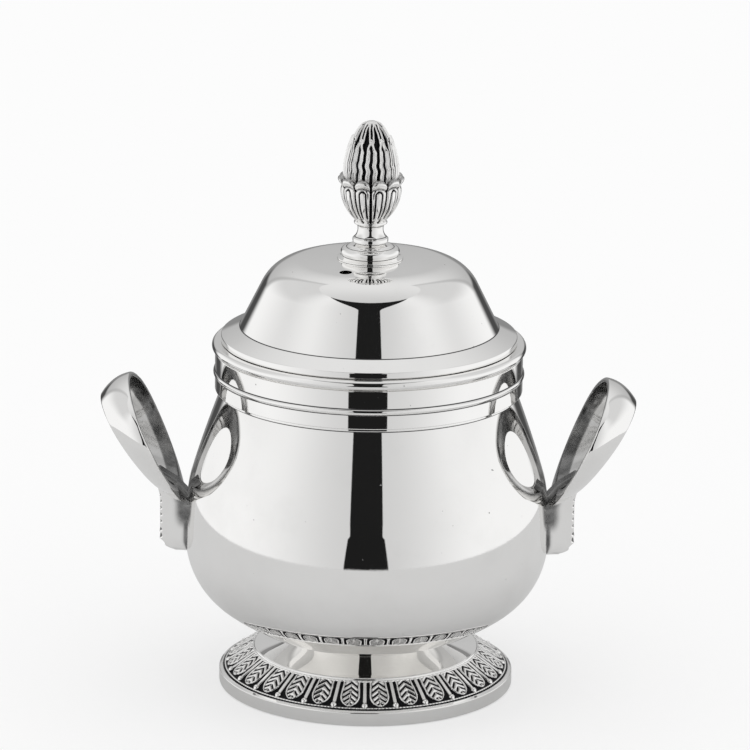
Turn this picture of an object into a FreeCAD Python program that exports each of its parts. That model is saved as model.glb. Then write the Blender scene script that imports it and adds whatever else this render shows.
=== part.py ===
"""A footed silver sugar bowl with a lift-off lid, in millimetres, +Z up, standing on z = 0.

The bowl's own pieces are the bellied shell, the collar round its neck, the rim, the foot's three
rings and two loop handles.  The lid's own pieces are the dome, the ring that locates it in the
mouth, and the bud finial, which a threaded stud, a washer and a nut hold to the dome.
"""

import os

import FreeCAD
import Part
import Sketcher

DOCUMENT = FreeCAD.newDocument("SugarBowl")

SIZES = {
    # bowl shell
    "sheet_wall": 1.0,
    "belly_radius": 48.3,
    "belly_height": 40.0,
    "side_round": 22.0,
    "side_turn": 53.2,
    "under_round": 59.0,
    "under_turn": 23.7,
    "wall_round": 148.0,
    "wall_turn": 5.3,
    "shoulder_round": 19.1,
    "shoulder_turn": 11.6,
    "neck_round": 358.0,
    "neck_turn": 3.8,
    "rim_height": 91.2,
    # collar round the neck
    "collar_height": 80.2,
    "collar_thick": 1.4,
    "collar_step": 0.7,
    "collar_step_rise": 0.8,
    "collar_bead": 0.75,
    "collar_bead_rise": 5.4,
    "collar_bead_round": 0.85,
    # rim
    "rim_radius": 41.6,
    "rim_rise": 2.7,
    "rim_flat": 0.9,
    "rim_round": 1.5,
    # foot
    "foot_radius": 39.25,
    "foot_wall": 2.3,
    "foot_edge_rise": 3.5,
    "frieze_outer": 38.4,
    "frieze_outer_rise": 4.0,
    "frieze_inner": 30.1,
    "frieze_inner_rise": 9.4,
    "frieze_thick": 1.3,
    "frieze_tilt": 33.0,
    "foot_bead": 0.55,
    "foot_bead_round": 0.72,
    "foot_neck": 17.0,
    "foot_neck_wall": 1.5,
    "foot_flare_round": 34.0,
    # handle bracket, seen from the side
    "bracket_root_out": 42.0,
    "bracket_low": 36.2,
    "bracket_toe_out": 52.0,
    "bracket_out": 55.2,
    "bracket_toe_up": 39.5,
    "bracket_top": 53.0,
    "bracket_neck_out": 56.4,
    "bracket_neck_up": 57.6,
    "bracket_inner_out": 50.2,
    "bracket_inner_up": 54.6,
    "bracket_crease_up": 49.5,
    "bracket_half_width": 4.6,
    # handle loop, a band between a wide outline near the bowl and a narrow one away from it
    "near_lean": 24.4,
    "near_away": 23.4,
    "near_half": 21.0,
    "near_widest": 88.0,
    "near_side_round": 24.0,
    "near_low_turn": 79.0,
    "near_corner": 11.0,
    "near_cap_turn": 53.6,
    "near_hole_half": 19.6,
    "near_hole_side_round": 17.0,
    "near_hole_corner": 9.6,
    "far_lean": 33.0,
    "far_away": 17.2,
    "far_half": 14.0,
    "far_widest": 92.4,
    "far_side_round": 20.0,
    "far_low_turn": 68.0,
    "far_corner": 10.0,
    "far_cap_turn": 46.5,
    "far_hole_half": 12.6,
    "far_hole_side_round": 11.5,
    "far_hole_corner": 8.6,
    "hole_low_turn": 60.0,
    # lid
    "lid_gap": 0.15,
    "lid_radius": 39.1,
    "lid_edge": 1.6,
    "dome_foot": 34.2,
    "dome_foot_rise": 3.9,
    "dome_lean": 26.4,
    "dome_side": 12.8,
    "dome_round": 11.6,
    "dome_turn": 59.9,
    "lid_wall": 1.0,
    "vent_radius": 1.65,
    "vent_across": -6.3,
    "vent_front": -14.5,
    "bezel_radius": 37.7,
    "bezel_wall": 1.0,
    "bezel_depth": 5.0,
    # finial
    "bolt_radius": 1.5,
    "bolt_clearance": 0.1,
    "base_radius": 8.7,
    "base_edge": 0.35,
    "base_step": 0.5,
    "base_bulge": 7.6,
    "base_bulge_top": 6.7,
    "base_bulge_rise": 2.55,
    "base_bulge_round": 1.5,
    "base_shoulder": 5.2,
    "base_rise": 3.7,
    "stem_ring": 4.7,
    "stem_ring_low": 4.0,
    "stem_ring_step": 0.7,
    "stem_ring_rise": 1.9,
    "stem_waist_round": 3.6,
    "stem_waist_rise": 5.7,
    "stem_neck": 4.0,
    "stem_top": 4.15,
    "stem_top_rise": 6.1,
    "stem_edge": 3.85,
    "stem_rise": 6.6,
    "cup_foot": 3.7,
    "cup_radius": 8.0,
    "cup_lip": 8.6,
    "cup_lip_rise": 1.4,
    "cup_round": 11.5,
    "cup_rise": 11.6,
    "cone_radius": 7.35,
    "cone_sunk": 1.2,
    "cone_straight": 3.0,
    "cone_rise": 26.5,
    "cone_side_round": 22.0,
    "cone_tip": 3.7,
    "cone_tip_rise": 1.9,
    "stud_below": 5.0,
    "washer_radius": 4.6,
    "washer_thick": 0.8,
    "washer_slack": 0.02,
    "nut_radius": 3.6,
    "nut_thick": 2.4,
}


def make_sheet():
    """Put every driving size in a spreadsheet, one aliased cell to a row."""
    sheet = DOCUMENT.addObject("Spreadsheet::Sheet", "Sizes")
    for row, (name, value) in enumerate(SIZES.items(), start=1):
        sheet.set(f"A{row}", name)
        sheet.set(f"B{row}", str(value))
        sheet.setAlias(f"B{row}", name)
    DOCUMENT.recompute()
    return sheet


SHEET = make_sheet()


def size(text):
    """Turn bare size names in a formula into references to the sheet."""
    words = []
    word = ""
    for letter in text + " ":
        if letter.isalnum() or letter == "_":
            word += letter
            continue
        words.append(f"Sizes.{word}" if word in SIZES else word)
        words.append(letter)
        word = ""
    return "".join(words).strip()


def value(text):
    """Work out a formula of size names with the sheet's own numbers."""
    return float(SHEET.evalExpression(size(text)))


def body_plane(body, role):
    """One of a body's own origin planes."""
    for feature in body.Origin.OriginFeatures:
        if feature.Role == role:
            return feature
    raise ValueError(role)


def new_body(label):
    """An empty PartDesign body with its label."""
    body = DOCUMENT.addObject("PartDesign::Body", label)
    body.Label = label
    return body


def new_sketch(body, name, role="XZ_Plane", tilt=None):
    """A sketch on one of the body's origin planes, turned about its first axis if tilt is given."""
    sketch = body.newObject("Sketcher::SketchObject", name)
    sketch.AttachmentSupport = [(body_plane(body, role), "")]
    sketch.MapMode = "FlatFace"
    if tilt:
        turn = FreeCAD.Rotation(FreeCAD.Vector(1, 0, 0), value(tilt))
        sketch.AttachmentOffset = FreeCAD.Placement(FreeCAD.Vector(), turn)
        sketch.setExpression(".AttachmentOffset.Rotation.Angle", size(tilt))
    return sketch


def arc_centre(start, end, radius):
    """Centre of the arc that turns left from start to end, or right where radius is negative."""
    chord = end - start
    middle = (start + end) * 0.5
    reach = max(0.0, radius**2 - (chord.Length / 2) ** 2) ** 0.5
    left = FreeCAD.Vector(-chord.y, chord.x, 0).normalize()
    return middle + left * (reach if radius > 0 else -reach)


def bind(sketch, kind, *places, formula):
    """Add one constraint at its present value and tie it to a formula of the sheet."""
    index = sketch.addConstraint(Sketcher.Constraint(kind, *places, value(formula)))
    sketch.setExpression(f"Constraints[{index}]", size(formula))


def draw_outline(sketch, corners):
    """Draw one closed outline and bind every corner and arc to the sheet.

    A corner is (across, up) or (across, up, radius, side): the stretch that ends there is then an
    arc of that radius, whose centre is on the "left" or "right" of the way along the outline.
    """
    points = [FreeCAD.Vector(value(c[0]), value(c[1]), 0) for c in corners]
    first = sketch.GeometryCount
    for index, corner in enumerate(corners):
        start, end = points[index - 1], points[index]
        if len(corner) == 2:
            sketch.addGeometry(Part.LineSegment(start, end), False)
            continue
        radius = value(corner[2]) * (1 if corner[3] == "left" else -1)
        centre = arc_centre(start, end, radius)
        circle = Part.Circle(centre, FreeCAD.Vector(0, 0, 1), abs(radius))
        ends = (start, end) if radius > 0 else (end, start)
        span = [circle.parameter(point) for point in ends]
        sketch.addGeometry(Part.ArcOfCircle(circle, *span), False)
    for index, corner in enumerate(corners):
        curve = first + index
        after = first + (index + 1) % len(corners)
        end_here = 1 if corner[2:] and corner[3] == "right" else 2
        following = corners[(index + 1) % len(corners)]
        start_after = 2 if following[2:] and following[3] == "right" else 1
        sketch.addConstraint(
            Sketcher.Constraint("Coincident", curve, end_here, after, start_after)
        )
        bind(sketch, "DistanceX", -1, 1, curve, end_here, formula=corner[0])
        bind(sketch, "DistanceY", -1, 1, curve, end_here, formula=corner[1])
        if corner[2:]:
            bind(sketch, "Radius", curve, formula=corner[2])


def turned(label, corners):
    """A body turned about the Z axis from an outline of (radius, height) corners."""
    body = new_body(label)
    sketch = new_sketch(body, label + "_section")
    draw_outline(sketch, corners)
    turning = body.newObject("PartDesign::Revolution", label + "_turning")
    turning.Profile = sketch
    turning.ReferenceAxis = (sketch, ["V_Axis"])
    turning.Angle = 360
    body.Tip = turning
    return body


def round_end(centre, radius, turn):
    """Where an arc about centre has got to after a turn down from its widest point."""
    across, up = centre
    return f"{across} + ({radius}) * cos({turn})", f"{up} - ({radius}) * sin({turn})"


def belly_corners(inset):
    """The belly's outline from its underside up to its neck, moved in by the inset.

    Five arcs, each tangent to the next: under and side below the widest point, wall and shoulder
    above it, and a long one up to the neck.
    """
    side = ("(belly_radius - side_round)", "belly_height")
    side_end = round_end(side, f"side_round - {inset}", "side_turn")
    shift = round_end(side, "side_round - under_round", "side_turn")
    under_end = round_end(shift, f"under_round - {inset}", "side_turn + under_turn")
    wall = ("(belly_radius - wall_round)", "belly_height")
    wall_end = round_end(wall, f"wall_round - {inset}", "-wall_turn")
    shoulder = round_end(wall, "wall_round - shoulder_round", "-wall_turn")
    shoulder_end = round_end(
        shoulder, f"shoulder_round - {inset}", "-wall_turn - shoulder_turn"
    )
    neck = round_end(
        shoulder, "shoulder_round - neck_round", "-wall_turn - shoulder_turn"
    )
    neck_end = round_end(
        neck, f"neck_round - {inset}", "-wall_turn - shoulder_turn - neck_turn"
    )
    return [
        under_end,
        (*side_end, f"under_round - {inset}", "left"),
        (f"belly_radius - {inset}", "belly_height", f"side_round - {inset}", "left"),
        (*wall_end, f"wall_round - {inset}", "left"),
        (*shoulder_end, f"shoulder_round - {inset}", "left"),
        (*neck_end, f"neck_round - {inset}", "left"),
    ]


OTHER_SIDE = {"left": "right", "right": "left"}


def reversed_outline(corners):
    """The same stretch of outline drawn the other way."""
    back = [corners[-1][:2]]
    for here, before in zip(reversed(corners), reversed(corners[:-1])):
        arc = (here[2], OTHER_SIDE[here[3]]) if here[2:] else ()
        back.append((*before[:2], *arc))
    return back


OUTER_BELLY = belly_corners("0")
INNER_BELLY = belly_corners("sheet_wall")
NECK = OUTER_BELLY[-1][0]
BELLY_FLOOR = OUTER_BELLY[0][1]
# the bowl is two spun halves, soldered where the belly is widest
SEAM = 2


def make_bowl_pan():
    """The bowl's lower half, a deep pan up to the seam at its widest point."""
    return turned(
        "bowl_pan",
        [
            ("0", BELLY_FLOOR),
            *OUTER_BELLY[: SEAM + 1],
            INNER_BELLY[SEAM][:2],
            *reversed_outline(INNER_BELLY[: SEAM + 1])[1:],
            ("0", INNER_BELLY[0][1]),
        ],
    )


def make_bowl_wall():
    """The bowl's upper half: wall, shoulder and the straight neck that stands inside the collar."""
    return turned(
        "bowl_wall",
        [
            OUTER_BELLY[SEAM][:2],
            *OUTER_BELLY[SEAM + 1 :],
            (NECK, "rim_height"),
            (f"{NECK} - sheet_wall", "rim_height"),
            *reversed_outline(INNER_BELLY[SEAM:]),
        ],
    )


def make_belly_form():
    """The space inside the belly's outer surface, which the handles are fitted against."""
    return turned(
        "belly_form",
        [
            ("0", BELLY_FLOOR),
            *OUTER_BELLY,
            (NECK, "rim_height"),
            ("0", "rim_height"),
        ],
    )


def make_neck_collar():
    """The plain band round the neck, with a step at its foot and a bead round its middle."""
    wall = f"{NECK} + collar_thick"
    bead_low = "collar_height + collar_bead_rise - collar_bead"
    bead_high = "collar_height + collar_bead_rise + collar_bead"
    return turned(
        "neck_collar",
        [
            (NECK, "collar_height"),
            (f"{NECK} + collar_step", "collar_height"),
            (f"{NECK} + collar_step", "collar_height + collar_step_rise"),
            (wall, "collar_height + collar_step_rise"),
            (wall, bead_low),
            (wall, bead_high, "collar_bead_round", "left"),
            (wall, "rim_height"),
            (NECK, "rim_height"),
        ],
    )


def make_rim_ring():
    """The half-round rim on top of the neck and collar, with a flat on top for the lid."""
    return turned(
        "rim_ring",
        [
            (f"{NECK} - sheet_wall", "rim_height"),
            ("rim_radius - rim_flat", "rim_height"),
            ("rim_radius - rim_flat", "rim_height + rim_rise", "rim_round", "left"),
            (f"{NECK} - sheet_wall", "rim_height + rim_rise"),
        ],
    )


FRIEZE_UNDER_OUTER = (
    "frieze_outer - frieze_thick * sin(frieze_tilt)",
    "frieze_outer_rise - frieze_thick * cos(frieze_tilt)",
)
FRIEZE_UNDER_INNER = (
    "frieze_inner - frieze_thick * sin(frieze_tilt)",
    "frieze_inner_rise - frieze_thick * cos(frieze_tilt)",
)


def make_foot_base_ring():
    """The upright edge that the bowl stands on."""
    return turned(
        "foot_base_ring",
        [
            ("foot_radius - foot_wall", "0"),
            ("foot_radius", "0"),
            ("foot_radius", "foot_edge_rise"),
            ("frieze_outer", "frieze_outer_rise"),
            FRIEZE_UNDER_OUTER,
            ("foot_radius - foot_wall", FRIEZE_UNDER_OUTER[1]),
        ],
    )


def make_foot_frieze():
    """The sloping band that carries the leaf border, here without its relief."""
    return turned(
        "foot_frieze",
        [
            FRIEZE_UNDER_OUTER,
            ("frieze_outer", "frieze_outer_rise"),
            ("frieze_inner", "frieze_inner_rise"),
            FRIEZE_UNDER_INNER,
        ],
    )


def make_foot_pedestal():
    """The thin flare from the frieze in to the belly's underside, with a bead at its edge."""
    bead_out = "frieze_inner - foot_bead"
    bead_top = "frieze_inner_rise + foot_bead"
    return turned(
        "foot_pedestal",
        [
            FRIEZE_UNDER_INNER,
            ("frieze_inner", "frieze_inner_rise"),
            (bead_out, bead_top, "foot_bead_round", "left"),
            ("foot_neck", BELLY_FLOOR, "foot_flare_round", "right"),
            ("foot_neck - foot_neck_wall", BELLY_FLOOR),
        ],
    )


def egg_corners(half, widest, side_round, low_turn, corner, cap_turn):
    """An upright egg of six tangent arcs: base, two sides, two corners and a cap."""
    side = (f"({half} - {side_round})", widest)
    shoulder = (f"({half} - {corner})", widest)
    base_round = f"{side_round} + ({half} - {side_round}) / cos({low_turn})"
    cap_round = f"{corner} + ({half} - {corner}) / cos({cap_turn})"
    low = round_end(side, side_round, low_turn)
    cap = round_end(shoulder, corner, f"-{cap_turn}")
    return [
        (*low, base_round, "left"),
        (half, widest, side_round, "left"),
        (*cap, corner, "left"),
        (f"-({cap[0]})", cap[1], cap_round, "left"),
        (f"-({half})", widest, corner, "left"),
        (f"-({low[0]})", low[1], side_round, "left"),
    ]


def leaning_sketch(body, name, where, corners):
    """An outline in the near or far plane of the loop, which leans out from the bowl."""
    sketch = new_sketch(body, name, role="YZ_Plane", tilt=f"{where}_lean")
    away = size(f"{where}_away")
    turn = size(f"{where}_lean")
    sketch.setExpression(".AttachmentOffset.Base.y", f"-{away} * sin({turn})")
    sketch.setExpression(".AttachmentOffset.Base.z", f"{away} * cos({turn})")
    draw_outline(sketch, corners)
    return sketch


def loop_section(where):
    """The loop's outer outline in one of its two planes."""
    names = ("half", "widest", "side_round", "low_turn", "corner", "cap_turn")
    return egg_corners(*(f"{where}_{name}" for name in names))


def hole_section(where):
    """The finger opening's outline in one of its two planes."""
    return egg_corners(
        f"{where}_hole_half",
        f"{where}_widest",
        f"{where}_hole_side_round",
        "hole_low_turn",
        f"{where}_hole_corner",
        f"{where}_cap_turn",
    )


def add_loft(body, kind, name, section):
    """Join the near and far outlines of one section by a loft that adds to or cuts the body."""
    near = leaning_sketch(body, name + "_near", "near", section("near"))
    far = leaning_sketch(body, name + "_far", "far", section("far"))
    loft = body.newObject(kind, name)
    loft.Profile = near
    loft.Sections = [far]
    body.Tip = loft


def make_handle_blank():
    """One handle's casting before it is fitted to the belly, on the +X side.

    The bracket is padded across from its side view, the loop is added as a loft that narrows away
    from the bowl, and the finger opening is cut out of both.
    """
    body = new_body("handle_blank")
    side = new_sketch(body, "bracket_side")
    draw_outline(
        side,
        [
            ("bracket_root_out", "bracket_low"),
            ("bracket_toe_out", "bracket_low"),
            ("bracket_out", "bracket_toe_up"),
            ("bracket_out", "bracket_top"),
            ("bracket_neck_out", "bracket_neck_up"),
            ("bracket_inner_out", "bracket_inner_up"),
            ("bracket_root_out", "bracket_crease_up"),
        ],
    )
    pad = body.newObject("PartDesign::Pad", "bracket_pad")
    pad.Profile = side
    pad.Midplane = True
    pad.setExpression("Length", size("bracket_half_width * 2"))
    body.Tip = pad
    add_loft(body, "PartDesign::AdditiveLoft", "loop", loop_section)
    add_loft(body, "PartDesign::SubtractiveLoft", "opening", hole_section)
    return body


def cut_through(body, sketch, name):
    """Cut a sketch's area right through the body, both ways from its plane."""
    pocket = body.newObject("PartDesign::Pocket", name)
    pocket.Profile = sketch
    pocket.Type = "ThroughAll"
    pocket.Midplane = True
    body.Tip = pocket


def make_handles():
    """The right-hand handle, fitted against the belly, and the left-hand one as its mirror."""
    right = DOCUMENT.addObject("Part::Cut", "handle_right")
    right.Base = make_handle_blank()
    right.Tool = make_belly_form()
    left = DOCUMENT.addObject("Part::Mirroring", "handle_left")
    left.Source = right
    left.Normal = FreeCAD.Vector(1, 0, 0)
    return [right, left]


LID_FOOT = "rim_height + rim_rise + lid_gap"


def dome_corners(inset):
    """The dome's outline from its foot up to its crown, moved in by the inset."""
    foot = (
        f"dome_foot - ({inset}) * cos(dome_lean)",
        f"{LID_FOOT} + dome_foot_rise - ({inset}) * sin(dome_lean)",
    )
    side = (
        f"{foot[0]} - dome_side * sin(dome_lean)",
        f"{foot[1]} + dome_side * cos(dome_lean)",
    )
    centre = (
        "dome_foot - dome_side * sin(dome_lean) - dome_round * cos(dome_lean)",
        f"{LID_FOOT} + dome_foot_rise + dome_side * cos(dome_lean)"
        " - dome_round * sin(dome_lean)",
    )
    turn = "-(dome_lean + dome_turn)"
    shoulder = round_end(centre, f"dome_round - ({inset})", turn)
    crown_round = f"({shoulder[0]}) / cos(dome_lean + dome_turn)"
    crown = f"{shoulder[1]} + {crown_round} * (1 - sin(dome_lean + dome_turn))"
    return [
        foot,
        side,
        (*shoulder, f"dome_round - ({inset})", "left"),
        ("0", crown, crown_round, "left"),
    ]


OUTER_DOME = dome_corners("0")
INNER_DOME = dome_corners("lid_wall")
CROWN = OUTER_DOME[-1][1]
UNDER_CROWN = INNER_DOME[-1][1]
UNDER_CROWN_ROUND = INNER_DOME[-1][2]


def cut_round_hole(body, name, across, front, radius):
    """Cut one upright round hole through a body."""
    sketch = new_sketch(body, name + "_circle", role="XY_Plane")
    centre = FreeCAD.Vector(value(across), value(front), 0)
    circle = Part.Circle(centre, FreeCAD.Vector(0, 0, 1), value(radius))
    sketch.addGeometry(circle, False)
    bind(sketch, "DistanceX", -1, 1, 0, 3, formula=across)
    bind(sketch, "DistanceY", -1, 1, 0, 3, formula=front)
    bind(sketch, "Radius", 0, formula=radius)
    cut_through(body, sketch, name)


def make_lid_dome():
    """The lid: a flat flange that slopes up to a steep dome, with a vent and a bolt hole."""
    body = turned(
        "lid_dome",
        [
            ("bezel_radius - bezel_wall", LID_FOOT),
            ("lid_radius", LID_FOOT),
            ("lid_radius", f"{LID_FOOT} + lid_edge"),
            *OUTER_DOME,
            ("0", UNDER_CROWN),
            *reversed_outline(INNER_DOME)[1:],
        ],
    )
    cut_round_hole(body, "vent_hole", "vent_across", "vent_front", "vent_radius")
    cut_round_hole(body, "bolt_hole", "0", "0", "bolt_radius + bolt_clearance")
    return body


def make_lid_bezel():
    """The ring under the flange that keeps the lid centred in the mouth."""
    return turned(
        "lid_bezel",
        [
            ("bezel_radius - bezel_wall", f"{LID_FOOT} - bezel_depth"),
            ("bezel_radius", f"{LID_FOOT} - bezel_depth"),
            ("bezel_radius", LID_FOOT),
            ("bezel_radius - bezel_wall", LID_FOOT),
        ],
    )


BORE = "bolt_radius + bolt_clearance"
STEM_FOOT = f"{CROWN} + base_rise"
CUP_FOOT = f"{STEM_FOOT} + stem_rise"
CONE_FOOT = f"{CUP_FOOT} + cup_rise - cone_sunk"
# the washer is flat and the crown is a little hollow, so the washer meets it at its own edge
WASHER_TOP = f"{UNDER_CROWN} - washer_radius ^ 2 / (2 * {UNDER_CROWN_ROUND}) - washer_slack"
NUT_SIDES = 6


def make_finial_base():
    """The finial's round base: a thin edge, a swelling and a shoulder."""
    bulge_foot = f"{CROWN} + base_edge + base_step"
    return turned(
        "finial_base",
        [
            (BORE, CROWN),
            ("base_radius", CROWN),
            ("base_radius", f"{CROWN} + base_edge"),
            ("base_bulge", bulge_foot),
            (
                "base_bulge_top",
                f"{bulge_foot} + base_bulge_rise",
                "base_bulge_round",
                "left",
            ),
            ("base_shoulder", STEM_FOOT),
            (BORE, STEM_FOOT),
        ],
    )


def make_finial_stem():
    """The short baluster between the base and the cup: a ring, a waist and a small top ring."""
    return turned(
        "finial_stem",
        [
            (BORE, STEM_FOOT),
            ("stem_ring_low", STEM_FOOT),
            ("stem_ring", f"{STEM_FOOT} + stem_ring_step"),
            ("stem_ring", f"{STEM_FOOT} + stem_ring_rise"),
            (
                "stem_neck",
                f"{STEM_FOOT} + stem_waist_rise",
                "stem_waist_round",
                "right",
            ),
            ("stem_top", f"{STEM_FOOT} + stem_top_rise"),
            ("stem_edge", f"{STEM_FOOT} + stem_rise"),
            (BORE, f"{STEM_FOOT} + stem_rise"),
        ],
    )


def make_finial_cup():
    """The leaf cup that the bud sits in, here without its leaves' relief."""
    return turned(
        "finial_cup",
        [
            (BORE, CUP_FOOT),
            ("cup_foot", CUP_FOOT),
            ("cup_radius", f"{CUP_FOOT} + cup_rise - cup_lip_rise", "cup_round", "left"),
            ("cup_lip", f"{CUP_FOOT} + cup_rise"),
            ("cone_radius", f"{CUP_FOOT} + cup_rise"),
            ("cone_radius", CONE_FOOT),
            (BORE, CONE_FOOT),
        ],
    )


def make_finial_cone():
    """The bud, here without its scales: a swelling side and a round tip."""
    tip_round = "(cone_tip ^ 2 + cone_tip_rise ^ 2) / (2 * cone_tip_rise)"
    return turned(
        "finial_cone",
        [
            ("0", CONE_FOOT),
            ("cone_radius", CONE_FOOT),
            ("cone_radius", f"{CONE_FOOT} + cone_straight"),
            (
                "cone_tip",
                f"{CUP_FOOT} + cone_rise - cone_tip_rise",
                "cone_side_round",
                "left",
            ),
            ("0", f"{CUP_FOOT} + cone_rise", tip_round, "left"),
        ],
    )


def make_finial_stud():
    """The threaded stud that runs from the nut under the crown up into the cup."""
    stud = DOCUMENT.addObject("Part::Cylinder", "finial_stud")
    stud.setExpression("Radius", size("bolt_radius"))
    stud.setExpression("Height", size(f"{CONE_FOOT} - ({UNDER_CROWN}) + stud_below"))
    stud.setExpression("Placement.Base.z", size(f"{UNDER_CROWN} - stud_below"))
    return stud


def make_finial_washer():
    """The plain washer between the dome and the nut."""
    return turned(
        "finial_washer",
        [
            (BORE, f"{WASHER_TOP} - washer_thick"),
            ("washer_radius", f"{WASHER_TOP} - washer_thick"),
            ("washer_radius", WASHER_TOP),
            (BORE, WASHER_TOP),
        ],
    )


def make_finial_nut():
    """The hexagon nut that draws the finial down."""
    body = new_body("finial_nut")
    sketch = new_sketch(body, "nut_hexagon", role="XY_Plane")
    corners = []
    for side in range(NUT_SIDES):
        turn = 360 / NUT_SIDES * side
        corners.append((f"nut_radius * cos({turn})", f"nut_radius * sin({turn})"))
    draw_outline(sketch, corners)
    pad = body.newObject("PartDesign::Pad", "nut_pad")
    pad.Profile = sketch
    pad.setExpression("Length", size("nut_thick"))
    body.Tip = pad
    cut_round_hole(body, "nut_bore", "0", "0", BORE)
    body.setExpression(
        "Placement.Base.z", size(f"{WASHER_TOP} - washer_thick - nut_thick")
    )
    return body


def make_pieces():
    """Every piece of the bowl and of its lid."""
    return [
        make_bowl_pan(),
        make_bowl_wall(),
        make_neck_collar(),
        make_rim_ring(),
        make_foot_base_ring(),
        make_foot_frieze(),
        make_foot_pedestal(),
        *make_handles(),
        make_lid_dome(),
        make_lid_bezel(),
        make_finial_base(),
        make_finial_stem(),
        make_finial_cup(),
        make_finial_cone(),
        make_finial_stud(),
        make_finial_washer(),
        make_finial_nut(),
    ]


def check_pieces(pieces):
    """Stop if any object failed to rebuild or any piece isn't one sound solid."""
    for item in DOCUMENT.Objects:
        if "Invalid" in item.State or "Error" in item.State:
            raise RuntimeError(f"{item.Label} is {item.State}")
    for piece in pieces:
        shape = piece.Shape
        if shape.isNull() or not shape.isValid() or len(shape.Solids) != 1:
            raise RuntimeError(f"{piece.Label} isn't one sound solid")
        box = shape.optimalBoundingBox()
        print(
            f"{piece.Label:16s} {shape.Volume:9.0f} mm3"
            f"  x {box.XMin:6.1f} to {box.XMax:5.1f}  z {box.ZMin:6.1f} to {box.ZMax:6.1f}"
        )


def main():
    """Build the document, check it and write one file for each piece."""
    pieces = make_pieces()
    DOCUMENT.recompute()
    check_pieces(pieces)
    os.makedirs("parts", exist_ok=True)
    for piece in pieces:
        piece.Shape.exportStep(f"parts/{piece.Label}.step")


main()
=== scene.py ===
"""A silver sugar bowl with a domed lid, a bud finial, two loop handles and a leaf border on its foot.

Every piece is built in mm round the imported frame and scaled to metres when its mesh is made.
Angles round the bowl start at the front, which is -Y, and grow towards +X.
"""

import math

import bmesh
import bpy
from mathutils import Matrix, Vector


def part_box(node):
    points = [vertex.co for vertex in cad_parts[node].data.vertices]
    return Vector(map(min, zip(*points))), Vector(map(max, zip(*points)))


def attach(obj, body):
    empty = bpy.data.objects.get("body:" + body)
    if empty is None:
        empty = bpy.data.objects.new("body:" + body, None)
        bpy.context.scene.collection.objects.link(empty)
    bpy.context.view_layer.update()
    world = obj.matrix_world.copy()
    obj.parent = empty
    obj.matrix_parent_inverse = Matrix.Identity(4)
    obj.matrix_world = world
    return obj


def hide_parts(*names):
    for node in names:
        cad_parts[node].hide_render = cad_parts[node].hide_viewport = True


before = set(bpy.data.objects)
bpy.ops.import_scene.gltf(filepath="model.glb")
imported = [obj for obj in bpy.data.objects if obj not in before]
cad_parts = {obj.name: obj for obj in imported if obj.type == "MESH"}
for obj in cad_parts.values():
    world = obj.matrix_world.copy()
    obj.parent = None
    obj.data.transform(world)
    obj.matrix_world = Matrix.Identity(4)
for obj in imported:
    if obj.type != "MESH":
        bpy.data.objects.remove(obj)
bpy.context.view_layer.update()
MM = 0.001
FULL_TURN = 2 * math.pi


def low(node):
    """Height of a node's underside in mm."""
    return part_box(node)[0].z / MM


def high(node):
    """Height of a node's top in mm."""
    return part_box(node)[1].z / MM


def reach(node):
    """A turned node's greatest radius in mm, from its box."""
    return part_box(node)[1].x / MM


# ---- outlines


SAMPLE_TURN = math.radians(2.0)
SAMPLE_STEP = 2.5
SOFT_SAMPLES = 5
SOFT_EDGE = 0.15
SAME_PLACE = 1e-4
TANGENT_ENOUGH = math.radians(3.0)


def straight(start, end):
    """A straight stretch of outline: its place and direction at t, its length and its turning."""
    span = end - start
    way = span.normalized()
    return (lambda t: start + span * t), (lambda t: way), span.length, 0.0


def bow(start, end, radius, side):
    """An arc of outline whose centre is on the left or right of the way from start to end."""
    chord = end - start
    left = Vector((-chord.y, chord.x)).normalized()
    depth = max(0.0, radius**2 - (chord.length / 2) ** 2) ** 0.5
    turn_sign = 1 if side == "left" else -1
    centre = (start + end) / 2 + left * depth * turn_sign
    first = math.atan2(start.y - centre.y, start.x - centre.x)
    sweep = 2 * math.asin(min(1.0, chord.length / 2 / radius)) * turn_sign

    def place(t):
        angle = first + sweep * t
        return centre + Vector((math.cos(angle), math.sin(angle))) * radius

    def direction(t):
        angle = first + sweep * t
        return Vector((-math.sin(angle), math.cos(angle))) * turn_sign

    return place, direction, abs(sweep) * radius, abs(sweep)


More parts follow.
